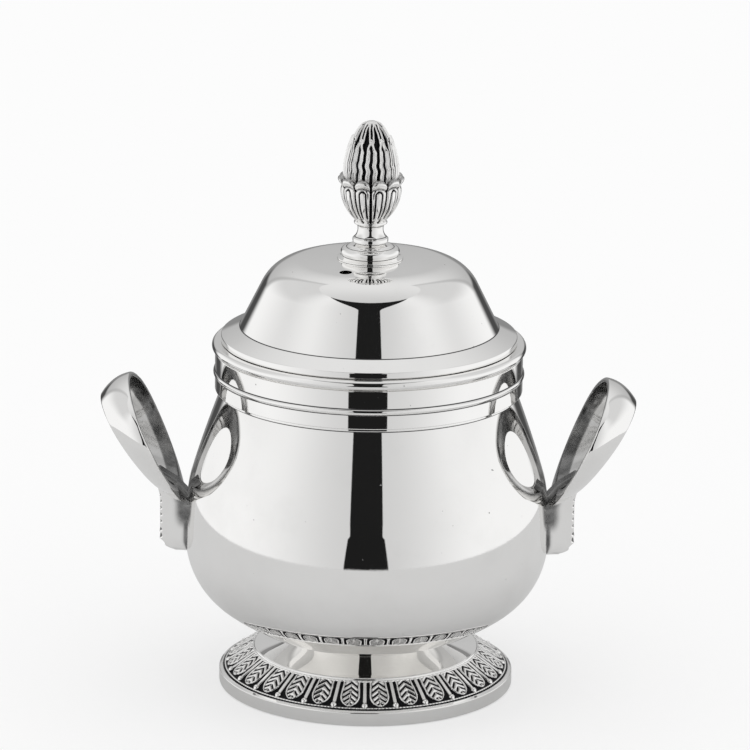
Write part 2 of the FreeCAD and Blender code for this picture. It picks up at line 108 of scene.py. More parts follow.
def soft_outline(corners, soft=SOFT_EDGE, closed=True):
    """Samples of an outline as (radius, height, outward radius, outward height, darkness of residue
    and painted shade).

    A corner is (radius, height) or, where the stretch that ends there is an arc,
    (radius, height, arc radius, side). Where two stretches meet at an angle the corner is
    rounded by the soft length. The outline runs with the metal on its left, so a right-hand
    corner is an inner one, where polish residue gathers. Its dark value there stands for
    polish residue together with painted shade.
    """
    points = [Vector(corner[:2]) for corner in corners]
    stretches = []
    for index, corner in enumerate(corners):
        if index == 0 and not closed:
            stretches.append(None)
            continue
        start, end = points[index - 1], points[index]
        arc = corner[2:]
        stretches.append(bow(start, end, *arc) if arc else straight(start, end))
    samples = []

    def add(place, direction, residue_and_shade=0.0):
        samples.append((max(0.0, place.x), place.y, direction.y, -direction.x, residue_and_shade))

    def meets_softly(index):
        before, after = stretches[index], stretches[(index + 1) % len(points)]
        if before is None or after is None:
            return 0.0
        if before[1](1).angle(after[1](0)) < TANGENT_ENOUGH:
            return 0.0
        return min(soft, before[2] * 0.45, after[2] * 0.45)

    def is_inner(index):
        before, after = stretches[index], stretches[(index + 1) % len(points)]
        return before[1](1).cross(after[1](0)) < 0

    for index, stretch in enumerate(stretches):
        if stretch is None:
            continue
        place, direction, length, turning = stretch
        begin = meets_softly(index - 1) / length if index or closed else 0.0
        cut = meets_softly(index)
        end = 1 - cut / length
        steps = max(1, math.ceil(turning / SAMPLE_TURN), math.ceil(length / SAMPLE_STEP))
        for step in range(steps + 1):
            t = begin + (end - begin) * step / steps
            add(place(t), direction(t))
        if not cut:
            continue
        after = stretches[(index + 1) % len(points)]
        away = cut / after[2]
        first, middle, last = place(end), points[index], after[0](away)
        for step in range(1, SOFT_SAMPLES):
            t = step / SOFT_SAMPLES
            spot = first * (1 - t) ** 2 + middle * 2 * t * (1 - t) + last * t**2
            way = (middle - first) * (1 - t) + (last - middle) * t
            # An inner corner is made dark: polish residue together with painted shade.
            add(spot, way.normalized(), 1.0 if is_inner(index) else 0.0)
    return without_repeats(samples)


def without_repeats(samples):
    """The samples with no two neighbours at the same place."""
    kept = []
    for sample in samples:
        if kept and math.dist(kept[-1][:2], sample[:2]) < SAME_PLACE:
            continue
        kept.append(sample)
    if math.dist(kept[0][:2], kept[-1][:2]) < SAME_PLACE:
        kept.pop()
    return kept


def resampled(samples, rows):
    """An open outline sampled again at even distances, with rows + 1 samples."""
    lengths = [0.0]
    for first, second in zip(samples, samples[1:]):
        lengths.append(lengths[-1] + math.dist(first[:2], second[:2]))
    even = []
    for row in range(rows + 1):
        target = lengths[-1] * row / rows
        index = 1
        while index < len(lengths) - 1 and lengths[index] < target:
            index += 1
        span = lengths[index] - lengths[index - 1]
        t = (target - lengths[index - 1]) / span
        first, second = samples[index - 1], samples[index]
        even.append(tuple(a + (b - a) * t for a, b in zip(first, second)))
    return even


# ---- pieces


def linked(name, data):
    """A new object in the scene."""
    thing = bpy.data.objects.new(name, data)
    bpy.context.scene.collection.objects.link(thing)
    return thing


def add_piece(name, body, nodes, mesh, material):
    """Show a mesh as one piece that rides on a body and stands for the CAD nodes."""
    piece = linked(name, mesh)
    mesh.materials.append(material)
    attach(piece, body)
    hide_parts(*nodes.split())
    return piece


def around(angle, radius):
    """The place at an angle from the front and a radius, in mm."""
    return math.sin(angle) * radius, -math.cos(angle) * radius


def between(here, after):
    """The faces between two closed rings of vertices, one of which may be a single vertex."""
    faces = []
    for step in range(max(len(here), len(after))):
        beyond = step + 1
        if len(here) == 1:
            faces.append((here[0], after[beyond % len(after)], after[step]))
        elif len(after) == 1:
            faces.append((here[step], here[beyond % len(here)], after[0]))
        else:
            beyond %= len(here)
            faces.append((here[step], here[beyond], after[beyond], after[step]))
    return faces


def turned_mesh(name, samples, segments=256, relief=None):
    """A closed mesh turned about Z from outline samples.

    The relief takes an angle and a sample's index and gives how far the surface stands out, how
    far it is lifted and how deep in the metal it lies, from 0 on a worn top to 1 in a dark hollow.
    """
    vertices, normals, hollows, rings = [], [], [], []
    for index, (radius, height, out, up, residue_and_shade) in enumerate(samples):
        ring = []
        count = 1 if radius < SAME_PLACE else segments
        for step in range(count):
            angle = FULL_TURN * step / segments
            # Without a relief the sample's own darkness is used: polish residue and painted shade in
            # inner corners.
            proud, lift, hollow = relief(angle, index) if relief else (0.0, 0.0, residue_and_shade)
            spot = around(angle, radius + out * proud)
            ring.append(len(vertices))
            vertices.append((spot[0] * MM, spot[1] * MM, (height + up * proud + lift) * MM))
            normals.append((*around(angle, out), up))
            hollows.append(hollow)
        rings.append(ring)
    faces = []
    for here, after in zip(rings, rings[1:] + rings[:1]):
        if len(here) > 1 or len(after) > 1:
            faces += between(here, after)
    mesh = bpy.data.meshes.new(name)
    mesh.from_pydata(vertices, [], faces)
    mesh.shade_smooth()
    layer = mesh.attributes.new("hollow", "FLOAT", "POINT")
    layer.data.foreach_set("value", hollows)
    if not relief:
        mesh.normals_split_custom_set_from_vertices(normals)
    return mesh


def add_turned(name, body, nodes, corners, soft=SOFT_EDGE):
    """Turn softened corners about Z and show them as one polished piece."""
    mesh = turned_mesh(name, soft_outline(corners, soft))
    add_piece(name, body, nodes, mesh, POLISHED)


def add_relief(name, body, node, samples, segments, relief):
    """Turn samples with a relief about Z and show them as one darkened piece."""
    mesh = turned_mesh(name, samples, segments, relief)
    add_piece(name, body, node, mesh, RELIEF)


def bump(distance, width):
    """A smooth ridge of height 1 at no distance, gone at the width."""
    near = max(0.0, 1 - abs(distance) / width)
    return near * near * (3 - 2 * near)


def ease(amount, start=0.0, end=1.0):
    """0 before the start, 1 after the end, smooth between."""
    t = min(1.0, max(0.0, (amount - start) / (end - start)))
    return t * t * (3 - 2 * t)


# ---- materials


def node_tree(name):
    """A new material's node tree with its Principled shader."""
    material = bpy.data.materials.new(name)
    material.use_nodes = True
    return material, material.node_tree, material.node_tree.nodes["Principled BSDF"]


def metal_tree(name):
    """A new metal's node tree with its Principled shader."""
    material, tree, shader = node_tree(name)
    shader.inputs["Metallic"].default_value = 1.0
    return material, tree, shader


def hollow_value(tree):
    """How deep in the metal a point lies, from the mesh's own values; on the turned pieces and the
    handles these values also carry painted shade.
    """
    node = tree.nodes.new("ShaderNodeAttribute")
    node.attribute_name = "hollow"
    return node.outputs["Fac"]


def noise_node(tree, scale, detail=3.0, roughness=0.5, stretch=(1, 1, 1)):
    """A noise texture in the object's own metres, stretched along an axis if asked."""
    place = tree.nodes.new("ShaderNodeTexCoord")
    mapping = tree.nodes.new("ShaderNodeMapping")
    mapping.inputs["Scale"].default_value = stretch
    texture = tree.nodes.new("ShaderNodeTexNoise")
    texture.inputs["Scale"].default_value = scale
    texture.inputs["Detail"].default_value = detail
    texture.inputs["Roughness"].default_value = roughness
    tree.links.new(place.outputs["Object"], mapping.inputs["Vector"])
    tree.links.new(mapping.outputs["Vector"], texture.inputs["Vector"])
    return texture.outputs["Fac"]


def feed(tree, socket, value):
    """Set a socket to a number or a colour, or link another node's output to it."""
    if isinstance(value, (int, float)):
        socket.default_value = value
    elif isinstance(value, tuple):
        socket.default_value = (*value, 1.0)
    else:
        tree.links.new(value, socket)


def map_range(tree, source, *ends):
    """A value taken from one range, given as low and high, to another."""
    node = tree.nodes.new("ShaderNodeMapRange")
    node.interpolation_type = "SMOOTHSTEP"
    for name, number in zip(("From Min", "From Max", "To Min", "To Max"), ends):
        node.inputs[name].default_value = number
    tree.links.new(source, node.inputs["Value"])
    return node.outputs["Result"]


def mix_colours(tree, amount, first, second):
    """A colour that goes from the first to the second as the amount grows."""
    node = tree.nodes.new("ShaderNodeMix")
    node.data_type = "RGBA"
    for index, value in ((0, amount), (6, first), (7, second)):
        feed(tree, node.inputs[index], value)
    return node.outputs[2]


def math_node(tree, operation, *values):
    """One math step on sockets or plain numbers."""
    node = tree.nodes.new("ShaderNodeMath")
    node.operation = operation
    for socket, value in zip(node.inputs, values):
        feed(tree, socket, value)
    return node.outputs["Value"]


def blend(tree, amount, first, second):
    """The first value where the amount is 0 and the second where it is 1."""
    node = tree.nodes.new("ShaderNodeMix")
    node.data_type = "FLOAT"
    for index, value in ((0, amount), (2, first), (3, second)):
        feed(tree, node.inputs[index], value)
    return node.outputs[0]


def add_bumps(tree, shader, layers):
    """Chain bump layers of (height, strength, distance in mm) into the shader's normal."""
    normal = None
    for height, strength, distance in layers:
        node = tree.nodes.new("ShaderNodeBump")
        node.inputs["Strength"].default_value = strength
        node.inputs["Distance"].default_value = distance * MM
        tree.links.new(height, node.inputs["Height"])
        if normal:
            tree.links.new(normal, node.inputs["Normal"])
        normal = node.outputs["Normal"]
    tree.links.new(normal, shader.inputs["Normal"])


SILVER = (0.94, 0.935, 0.925)
SILVER_WORN = (0.90, 0.895, 0.885)
OXIDE_AND_SHADE = (0.018, 0.018, 0.02)
PRICKED = (0.35, 0.35, 0.35)
UNPOLISHED_AND_SHADE = (0.09, 0.09, 0.09)
STEEL_CLEAN, STEEL_STAINED = (0.56, 0.56, 0.55), (0.33, 0.31, 0.28)


def polished_silver():
    """Mirror-polished sheet silver with faint wipe marks, hairlines, a few pin pricks, and dark
    polish residue with painted shade in its inner corners.
    """
    material, tree, shader = metal_tree("polished_silver")
    smudge = noise_node(tree, 45, 4, 0.6)
    hairline = noise_node(tree, 900, 2, 0.5, (1, 1, 14))
    prick = map_range(tree, noise_node(tree, 900, 1), 0.79, 0.83, 0, 0.7)
    # Dark polish residue and painted shade in the inner corners, taken from the mesh's hollow values.
    darkening = map_range(tree, hollow_value(tree), 0.1, 0.9, 0, 0.93)
    toned = mix_colours(tree, map_range(tree, smudge, 0.45, 0.75, 0, 1), SILVER, SILVER_WORN)
    toned = mix_colours(tree, darkening, toned, OXIDE_AND_SHADE)
    tree.links.new(mix_colours(tree, prick, toned, PRICKED), shader.inputs["Base Color"])
    haze = map_range(tree, smudge, 0.4, 0.8, 0.018, 0.05)
    rough = math_node(tree, "ADD", haze, map_range(tree, hairline, 0.6, 0.8, 0, 0.02))
    rough = math_node(tree, "MULTIPLY_ADD", darkening, 0.4, rough)
    tree.links.new(math_node(tree, "ADD", rough, prick), shader.inputs["Roughness"])
    add_bumps(tree, shader, [(hairline, 0.03, 0.02), (prick, 0.3, -0.02)])
    return material


def relief_silver():
    """Chased silver: bright where it is rubbed, black with sulphide in its hollows."""
    material, tree, shader = metal_tree("relief_silver")
    stipple = noise_node(tree, 2600, 2, 0.6)
    cloud = noise_node(tree, 300, 3, 0.6)
    uneven = math_node(tree, "MULTIPLY_ADD", stipple, 0.35, hollow_value(tree))
    uneven = math_node(tree, "MULTIPLY_ADD", cloud, 0.3, uneven)
    dark = map_range(tree, uneven, 0.50, 1.05, 0, 1)
    tree.links.new(mix_colours(tree, dark, SILVER, OXIDE_AND_SHADE), shader.inputs["Base Color"])
    tree.links.new(map_range(tree, dark, 0, 1, 0.12, 0.5), shader.inputs["Roughness"])
    add_bumps(tree, shader, [(stipple, 0.10, 0.05), (cloud, 0.10, 0.1)])
    return material


def cast_silver():
    """Cast silver: polished outside, matt, grainy and near-black where the polisher could not reach;
    the near-black also paints the shade inside the handle loops and on the brackets' sides.
    """
    material, tree, shader = metal_tree("cast_silver")
    inside = hollow_value(tree)
    grain = noise_node(tree, 2200, 3, 0.65)
    cloud = noise_node(tree, 160, 4, 0.6)
    # Near-black colour: unpolished metal, and painted shade inside the loops and on the brackets'
    # sides.
    blotch = math_node(tree, "MULTIPLY", map_range(tree, cloud, 0.35, 0.7, 0.8, 1), inside)
    tree.links.new(mix_colours(tree, blotch, SILVER, UNPOLISHED_AND_SHADE), shader.inputs["Base Color"])
    matt = math_node(tree, "MULTIPLY", map_range(tree, grain, 0.3, 0.7, 0.12, 0.34), inside)
    rough = math_node(tree, "ADD", matt, map_range(tree, cloud, 0.3, 0.8, 0.02, 0.05))
    tree.links.new(rough, shader.inputs["Roughness"])
    pitted = math_node(tree, "MULTIPLY", grain, inside)
    add_bumps(tree, shader, [(pitted, 0.35, 0.05), (cloud, 0.02, 0.1)])
    return material


def hardware_steel():
    """Plain turned steel with fine tool rings and a little staining."""
    material, tree, shader = metal_tree("hardware_steel")
    rings = noise_node(tree, 500, 2, 0.5, (1, 1, 8))
    stain = noise_node(tree, 240, 4, 0.6)
    darkening = map_range(tree, stain, 0.45, 0.7, 0, 1)
    toned = mix_colours(tree, darkening, STEEL_CLEAN, STEEL_STAINED)
    tree.links.new(toned, shader.inputs["Base Color"])
    tree.links.new(map_range(tree, rings, 0.3, 0.7, 0.22, 0.42), shader.inputs["Roughness"])
    add_bumps(tree, shader, [(rings, 0.3, 0.03)])
    return material


POLISHED = polished_silver()
RELIEF = relief_silver()
CAST = cast_silver()
STEEL = hardware_steel()


# ---- bowl


SHEET = 1.0
BELLY_RADIUS = reach("bowl_wall")
BELLY_HEIGHT = 40.0
SIDE_ROUND, SIDE_TURN = 22.0, 53.2
UNDER_ROUND, UNDER_TURN = 59.0, 23.7
WALL_ROUND, WALL_TURN = 148.0, 5.3
SHOULDER_ROUND, SHOULDER_TURN = 19.1, 11.6
NECK_ROUND, NECK_TURN = 358.0, 3.8
RIM_FOOT = high("bowl_wall")


def on_round(centre, radius, turn):
    """Where an arc about centre has got to after a turn down, in degrees, from its widest point."""
    angle = math.radians(turn)
    return centre[0] + radius * math.cos(angle), centre[1] - radius * math.sin(angle)


def belly(inset):
    """The belly's outline from its underside up to its neck, moved in by the inset."""
    side = (BELLY_RADIUS - SIDE_ROUND, BELLY_HEIGHT)
    side_end = on_round(side, SIDE_ROUND - inset, SIDE_TURN)
    under = on_round(side, SIDE_ROUND - UNDER_ROUND, SIDE_TURN)
    under_end = on_round(under, UNDER_ROUND - inset, SIDE_TURN + UNDER_TURN)
    wall = (BELLY_RADIUS - WALL_ROUND, BELLY_HEIGHT)
    wall_end = on_round(wall, WALL_ROUND - inset, -WALL_TURN)
    shoulder = on_round(wall, WALL_ROUND - SHOULDER_ROUND, -WALL_TURN)
    turn = WALL_TURN + SHOULDER_TURN
    shoulder_end = on_round(shoulder, SHOULDER_ROUND - inset, -turn)
    neck = on_round(shoulder, SHOULDER_ROUND - NECK_ROUND, -turn)
    neck_end = on_round(neck, NECK_ROUND - inset, -turn - NECK_TURN)
    return [
        under_end,
        (*side_end, UNDER_ROUND - inset, "left"),
        (BELLY_RADIUS - inset, BELLY_HEIGHT, SIDE_ROUND - inset, "left"),
        (*wall_end, WALL_ROUND - inset, "left"),
        (*shoulder_end, SHOULDER_ROUND - inset, "left"),
        (*neck_end, NECK_ROUND - inset, "left"),
    ]


OUTER_BELLY = belly(0)
INNER_BELLY = belly(SHEET)
NECK = OUTER_BELLY[-1][0]
BELLY_FLOOR = OUTER_BELLY[0][1]
OTHER_SIDE = {"left": "right", "right": "left"}


def backwards(corners):
    """The same stretch of outline run the other way."""
    back = [corners[-1][:2]]
    for here, before in zip(reversed(corners), reversed(corners[:-1])):
        arc = (here[2], OTHER_SIDE[here[3]]) if here[2:] else ()
        back.append((*before[:2], *arc))
    return back


def belly_radius_at(height):
    """The belly's outer radius at a height, by walking its outline."""
    samples = soft_outline(OUTER_BELLY, closed=False)
    for first, second in zip(samples, samples[1:]):
        if first[1] <= height <= second[1]:
            t = (height - first[1]) / (second[1] - first[1])
            return first[0] + (second[0] - first[0]) * t
    return NECK


def make_bowl():
    """The spun bowl with its neck, inside and out."""
    corners = [
        (0.0, BELLY_FLOOR),
        *OUTER_BELLY,
        (NECK, RIM_FOOT),
        (NECK - SHEET, RIM_FOOT),
        *backwards(INNER_BELLY),
        (0.0, INNER_BELLY[0][1]),
    ]
    add_turned("bowl_body", "bowl", "bowl_pan bowl_wall", corners)


def make_collar():
    """The band round the neck: a step at its foot, a bead and a plain band above and below it."""
    foot, top = low("neck_collar"), high("neck_collar")
    wall = NECK + 1.4
    step, step_rise = 0.7, 0.8
    bead_low, bead_high, bead_round = foot + 4.65, foot + 6.15, 0.85
    corners = [
        (NECK, foot),
        (NECK + step, foot),
        (NECK + step, foot + step_rise),
        (wall, foot + step_rise),
        (wall, bead_low),
        (wall, bead_high, bead_round, "left"),
        (wall, top),
        (NECK, top),
    ]
    add_turned("collar_band", "bowl", "neck_collar", corners, 0.22)


def make_rim():
    """The half-round rim with its flat top."""
    foot, top = low("rim_ring"), high("rim_ring")
    flat, rim_round, joint_deep, joint_high = NECK + 1.43, 1.3, 0.5, 0.3
    corners = [
        (NECK - SHEET, foot),
        (flat - joint_deep, foot),
        (flat - joint_deep, foot + joint_high),
        (flat, foot + joint_high),
        (flat, top, rim_round, "left"),
        (NECK - SHEET, top),
    ]
    add_turned("rim_band", "bowl", "rim_ring", corners, 0.12)


# ---- foot


FRIEZE_OUTER = (reach("foot_frieze"), high("foot_base_ring"))
FRIEZE_INNER = (reach("foot_pedestal"), high("foot_frieze"))
FRIEZE_SPAN = math.dist(FRIEZE_OUTER, FRIEZE_INNER)
FRIEZE_OUT = (
    (FRIEZE_INNER[1] - FRIEZE_OUTER[1]) / FRIEZE_SPAN,
    (FRIEZE_OUTER[0] - FRIEZE_INNER[0]) / FRIEZE_SPAN,
)
FRIEZE_THICK = 1.3
FOOT_WALL = 2.3
FOOT_BEVEL = 0.5


def under_frieze(corner):
    """A corner of the frieze's underside."""
    return tuple(c - FRIEZE_THICK * out for c, out in zip(corner, FRIEZE_OUT))


def make_foot_ring():
    """The upright edge that the bowl stands on, with a narrow bright bevel on top."""
    outer = reach("foot_base_ring")
    inner = outer - FOOT_WALL
    edge = high("foot_base_ring") - FOOT_BEVEL
    under = under_frieze(FRIEZE_OUTER)
    corners = [
        (inner, 0.0),
        (outer, 0.0),
        (outer, edge),
        FRIEZE_OUTER,
        under,
        (inner, under[1]),
    ]
    add_turned("foot_edge", "bowl", "foot_base_ring", corners, 0.22)


def make_foot_flare():
    """The flare from the leaf border in to the belly, with a bead at its edge."""
    bead, bead_round = 0.55, 0.72
    neck, neck_wall, flare_round = 17.0, 1.5, 34.0
    corners = [
        under_frieze(FRIEZE_INNER),
        FRIEZE_INNER,
        (FRIEZE_INNER[0] - bead, FRIEZE_INNER[1] + bead, bead_round, "left"),
        (neck, BELLY_FLOOR, flare_round, "right"),
        (neck - neck_wall, BELLY_FLOOR),
    ]
    add_turned("foot_flare", "bowl", "foot_pedestal", corners, 0.08)


GROUND = -0.5
LEAVES = 28
LEAF_COLUMNS = 44
FRIEZE_ROWS = 72


def leaf_height(across, along):
    """Relief of one leaf and the ground round it, in mm."""
    tip, tip_length, widest, inner_half = 1.45, 3.4, 2.7, 2.3
    narrows_from, narrows_to = 4.5, 9.4
    past = along - tip
    bend = min(1.0, max(0.0, past / tip_length))
    half = widest - (widest - inner_half) * ease(along, narrows_from, narrows_to)
    half *= (1 - (1 - bend) ** 2) ** 0.5
    inward = half - abs(across)
    if past <= 0 or inward <= 0:
        return GROUND
    body = GROUND + 0.5 * ease(inward, 0, 0.2)
    rim_in, rim_half, rim_rise = 0.28, 0.34, 0.12
    channel_in, channel_half, channel_depth = 0.6, 0.2, 0.3
    if inward < channel_in + 0.02:
        rim = rim_rise * bump(inward - rim_in, rim_half)
        return body + rim - channel_depth * bump(inward - channel_in, channel_half)
    blade_depth, vein_step, vein_slant, vein_rise = 0.36, 1.7, 0.9, 0.34
    rib_half, rib_rise, rib_fades_from, rib_fades_to = 0.3, 0.2, 5.5, 8.0
    vein = 0.5 + 0.5 * math.cos(FULL_TURN * (along + vein_slant * abs(across)) / vein_step)
    rib = rib_rise * bump(across, rib_half) * (1 - ease(along, rib_fades_from, rib_fades_to))
    return body - blade_depth + vein_rise * vein**0.8 * ease(inward, 0.5, 0.8) + rib


def dart_height(across, along):
    """Relief of the bar between two leaves and of the bead at its end, in mm."""
    bar_half, bar_rise, bar_hollow = 0.47, 0.55, 0.12
    bead_along, bead_radius, bead_rise = 1.8, 0.86, 0.85
    dot_radius, dot_depth = 0.3, 0.55
    height = GROUND
    if along > bead_along:
        edge = bar_half - abs(across)
        height = GROUND + bar_rise * ease(edge, -0.1, 0.16) - bar_hollow * bump(across, 0.2)
    from_bead = math.hypot(across, along - bead_along)
    if from_bead < bead_radius:
        dome_share = (1 - (from_bead / bead_radius) ** 2) ** 0.5
        height = max(height, GROUND + bead_rise * dome_share)
        height -= dot_depth * bump(from_bead, dot_radius)
    return height


def edge_height(turn, along):
    """Relief of the milled line outside the leaves and of the toothed edge inside them, in mm."""
    mills, line_along, line_half, line_rise = 9, 0.8, 0.5, 0.52
    teeth, teeth_along, teeth_length, teeth_end, teeth_rise = 6, 9.15, 0.3, 9.6, 0.5
    mill = 0.85 + 0.15 * math.cos(turn * FULL_TURN * mills)
    line = line_rise * bump(along - line_along, line_half) * mill
    tooth = 0.5 + 0.5 * math.cos(turn * FULL_TURN * teeth)
    inner = teeth_rise * ease(along, teeth_along + teeth_length * tooth, teeth_end)
    return GROUND + max(line, inner)


def frieze_relief(angle, index):
    """Relief of the whole leaf border at one place."""
    if index > FRIEZE_ROWS:
        return 0.0, 0.0, 0.6
    share = index / FRIEZE_ROWS
    along = share * FRIEZE_SPAN
    radius = FRIEZE_OUTER[0] + (FRIEZE_INNER[0] - FRIEZE_OUTER[0]) * share
    turn = angle / FULL_TURN * LEAVES
    step = FULL_TURN * radius / LEAVES
    from_dart = (turn - round(turn)) * step
    from_leaf = (turn - math.floor(turn) - 0.5) * step
    height = max(
        leaf_height(from_leaf, along), dart_height(from_dart, along), edge_height(turn, along)
    )
    margin_out, margin_in = 0.2, 9.75
    height *= ease(along, -0.02, margin_out) * (1 - ease(along, margin_in, FRIEZE_SPAN))
    return height, 0.0, ease(-height, -0.02, 0.42)


def make_frieze():
    """The sloping border of upright leaves with a bar and bead between each pair."""
    samples = []
    for row in range(FRIEZE_ROWS + 1):
        share = row / FRIEZE_ROWS
        radius = FRIEZE_OUTER[0] + (FRIEZE_INNER[0] - FRIEZE_OUTER[0]) * share
        height = FRIEZE_OUTER[1] + (FRIEZE_INNER[1] - FRIEZE_OUTER[1]) * share
        samples.append((radius, height, *FRIEZE_OUT, 0.0))
    for corner in (FRIEZE_INNER, FRIEZE_OUTER):
        down = tuple(-out for out in FRIEZE_OUT)
        samples.append((*under_frieze(corner), *down, 0.0))
    columns = LEAVES * LEAF_COLUMNS
    add_relief("leaf_border", "bowl", "foot_frieze", samples, columns, frieze_relief)


# ---- handles


ARC_SAMPLES = 34
BAND_WIDTH_SAMPLES = 22
BAND_WIDTH, BAND_THICKNESS = 10.0, 1.4
BAND_CORNER = 0.42
CAP_SWELL, SIDE_SWELL = 1.1, 1.0
NEAR = {"lean": 24.4, "away": 23.4, "widest": 88.0, "cap": 53.6}
FAR = {"lean": 33.0, "away": 17.2, "widest": 92.4, "cap": 46.5}
NEAR_OUTER = {"half": 21.0, "side": 24.0, "low": 79.0, "corner": 11.0}
NEAR_HOLE = {"half": 19.6, "side": 17.0, "low": 60.0, "corner": 9.6}
FAR_OUTER = {"half": 14.0, "side": 20.0, "low": 68.0, "corner": 10.0}
FAR_HOLE = {"half": 12.6, "side": 11.5, "low": 60.0, "corner": 8.6}


def egg(plane, outline):
    """Points of an upright egg of six tangent arcs in a leaning plane, as seen on the +X side."""
    half, side, corner = outline["half"], outline["side"], outline["corner"]
    low_turn, cap_turn = outline["low"], plane["cap"]
    widest = plane["widest"]
    low_reach = (half - side) / math.cos(math.radians(low_turn))
    cap_reach = (half - corner) / math.cos(math.radians(cap_turn))
    low_centre = (0.0, widest + low_reach * math.sin(math.radians(low_turn)))
    cap_centre = (0.0, widest - cap_reach * math.sin(math.radians(cap_turn)))
    arcs = [
        ((half - side, widest), side, -low_turn, 0),
        ((half - corner, widest), corner, 0, cap_turn),
        (cap_centre, corner + cap_reach, cap_turn, 180 - cap_turn),
        ((corner - half, widest), corner, 180 - cap_turn, 180),
        ((side - half, widest), side, 180, 180 + low_turn),
        (low_centre, side + low_reach, 180 + low_turn, 360 - low_turn),
    ]
    lean = math.radians(plane["lean"])
    points = []
    for centre, radius, first, last in arcs:
        for step in range(ARC_SAMPLES):
            angle = math.radians(first + (last - first) * step / ARC_SAMPLES)
            across = centre[0] + radius * math.cos(angle)
            along = centre[1] + radius * math.sin(angle)
            out = plane["away"] * math.cos(lean) + along * math.sin(lean)
            up = along * math.cos(lean) - plane["away"] * math.sin(lean)
            points.append(Vector((out, across, up)))
    return points


def rounded_strip(width, thickness, corner):
    """A closed section as (share of width, share of thickness), run round its four soft corners."""
    section = []
    spots = [
        (corner, corner, 180),
        (width - corner, corner, 270),
        (width - corner, thickness - corner, 0),
        (corner, thickness - corner, 90),
    ]
    corner_steps = 5
    for index, (across, through, first) in enumerate(spots):
        for step in range(corner_steps + 1):
            angle = math.radians(first + 90 * step / corner_steps)
            section.append(
                (across + corner * math.cos(angle), through + corner * math.sin(angle))
            )
        if index % 2:
            continue
        start = section[-1]
        end = spots[(index + 1) % 4][0]
        for step in range(1, BAND_WIDTH_SAMPLES):
            section.append((start[0] + (end - start[0]) * step / BAND_WIDTH_SAMPLES, start[1]))
    return [(across / width, through / thickness) for across, through in section]


def loop_surface():
    """Vertices, faces and hollow values of the flared loop on the +X side; the hollow values darken
    the loop's inner face with matt unpolished metal and painted shade, darkest under its cap.
    """
    near_outer, near_hole = egg(NEAR, NEAR_OUTER), egg(NEAR, NEAR_HOLE)
    far_outer, far_hole = egg(FAR, FAR_OUTER), egg(FAR, FAR_HOLE)
    count = len(near_outer)
    section = rounded_strip(BAND_WIDTH, BAND_THICKNESS, BAND_CORNER)
    vertices, hollows = [], []
    for index in range(count):
        near_in, near_out = near_hole[index], near_outer[index]
        far_in, far_out = far_hole[index], far_outer[index]
        outward = (near_out - near_in + far_out - far_in).normalized()
        for wide, thick in section:
            near = near_in.lerp(near_out, thick)
            far = far_in.lerp(far_out, thick)
            swell = (CAP_SWELL + SIDE_SWELL * outward.y**2) * 4 * wide * (1 - wide)
            vertices.append(near.lerp(far, wide) + outward * swell)
            # Painted shade on the strap's inner face: full under the cap, less from the middle of the
            # band's width to its far edge on the side straps.
            inside = 1 - ease(thick, 0.05, 0.6)
            less_shaded = ease(wide, 0.40, 0.47) * (1 - ease(outward.z, 0.55, 0.85))
            hollows.append(inside * (1 - 0.6 * less_shaded))
    size = len(section)
    rings = [range(index * size, (index + 1) * size) for index in range(count)]
    faces = []
    for here, after in zip(rings, rings[1:] + rings[:1]):
        faces += between(here, after)
    return vertices, faces, hollows


BRACKET_LOW, BRACKET_TOP = 36.3, 57.6
BRACKET_ROWS = 110
BRACKET_SLOPE = ((49.0, 46.0), (54.6, 50.6), (57.6, 55.2))
LOBE_HEIGHTS = (37.4, 39.4, 41.3)


def bracket_reach(height):
    """How far out the bracket's outer face stands at a height."""
    toe, straight_out, neck_out = 52.3, 55.1, 56.6
    rise = height - BRACKET_LOW
    reach_out = toe + (straight_out - toe) * ease(rise, -1.0, 3.4)
    return reach_out + (neck_out - straight_out) * ease(height, 50.0, 58.0)


def bracket_carving(across, height):
    """Depth of the herringbone cuts and the little lobes on the bracket's outer face."""
    cut_step, cut_slant, cut_depth = 1.9, 0.9, 0.42
    lobe_half, lobe_rise, lobe_ground = 0.95, 1.0, 0.85
    herring = math.cos(FULL_TURN * (height + cut_slant * abs(across)) / cut_step)
    carved_part = ease(height, 42.5, 44) * (1 - ease(height, 51.5, 53))
    cuts = -cut_depth * ease(herring, 0.2, 0.8) * carved_part
    lobes = sum(lobe_rise * bump(height - centre, lobe_half) for centre in LOBE_HEIGHTS)
    return cuts + (lobes - lobe_ground) * (1 - ease(height, 41.8, 42.6))


def bracket_root(height):
    """How near the axis the bracket starts: inside the belly, then along its sloping top."""
    buried = belly_radius_at(height) - 1.6
    for (first_up, first_out), (last_up, last_out) in zip(BRACKET_SLOPE, BRACKET_SLOPE[1:]):
        if first_up <= height <= last_up:
            share = (height - first_up) / (last_up - first_up)
            return max(buried, first_out + (last_out - first_out) * share)
    return buried if height < BRACKET_SLOPE[0][0] else BRACKET_SLOPE[-1][1]


def root_shade(share, height):
    """How dark the bracket's side is made, as a negative depth: painted shade under the loop, and a
    dark line of polish residue with painted shade along its joint with the belly.
    """
    crotch = 0.42 * (1 - ease(share, 0.3, 0.95)) * ease(height, 39.0, 47.0)
    joint = 0.4 * (1 - ease(share, 0.2, 0.45))
    return -max(crotch, joint)


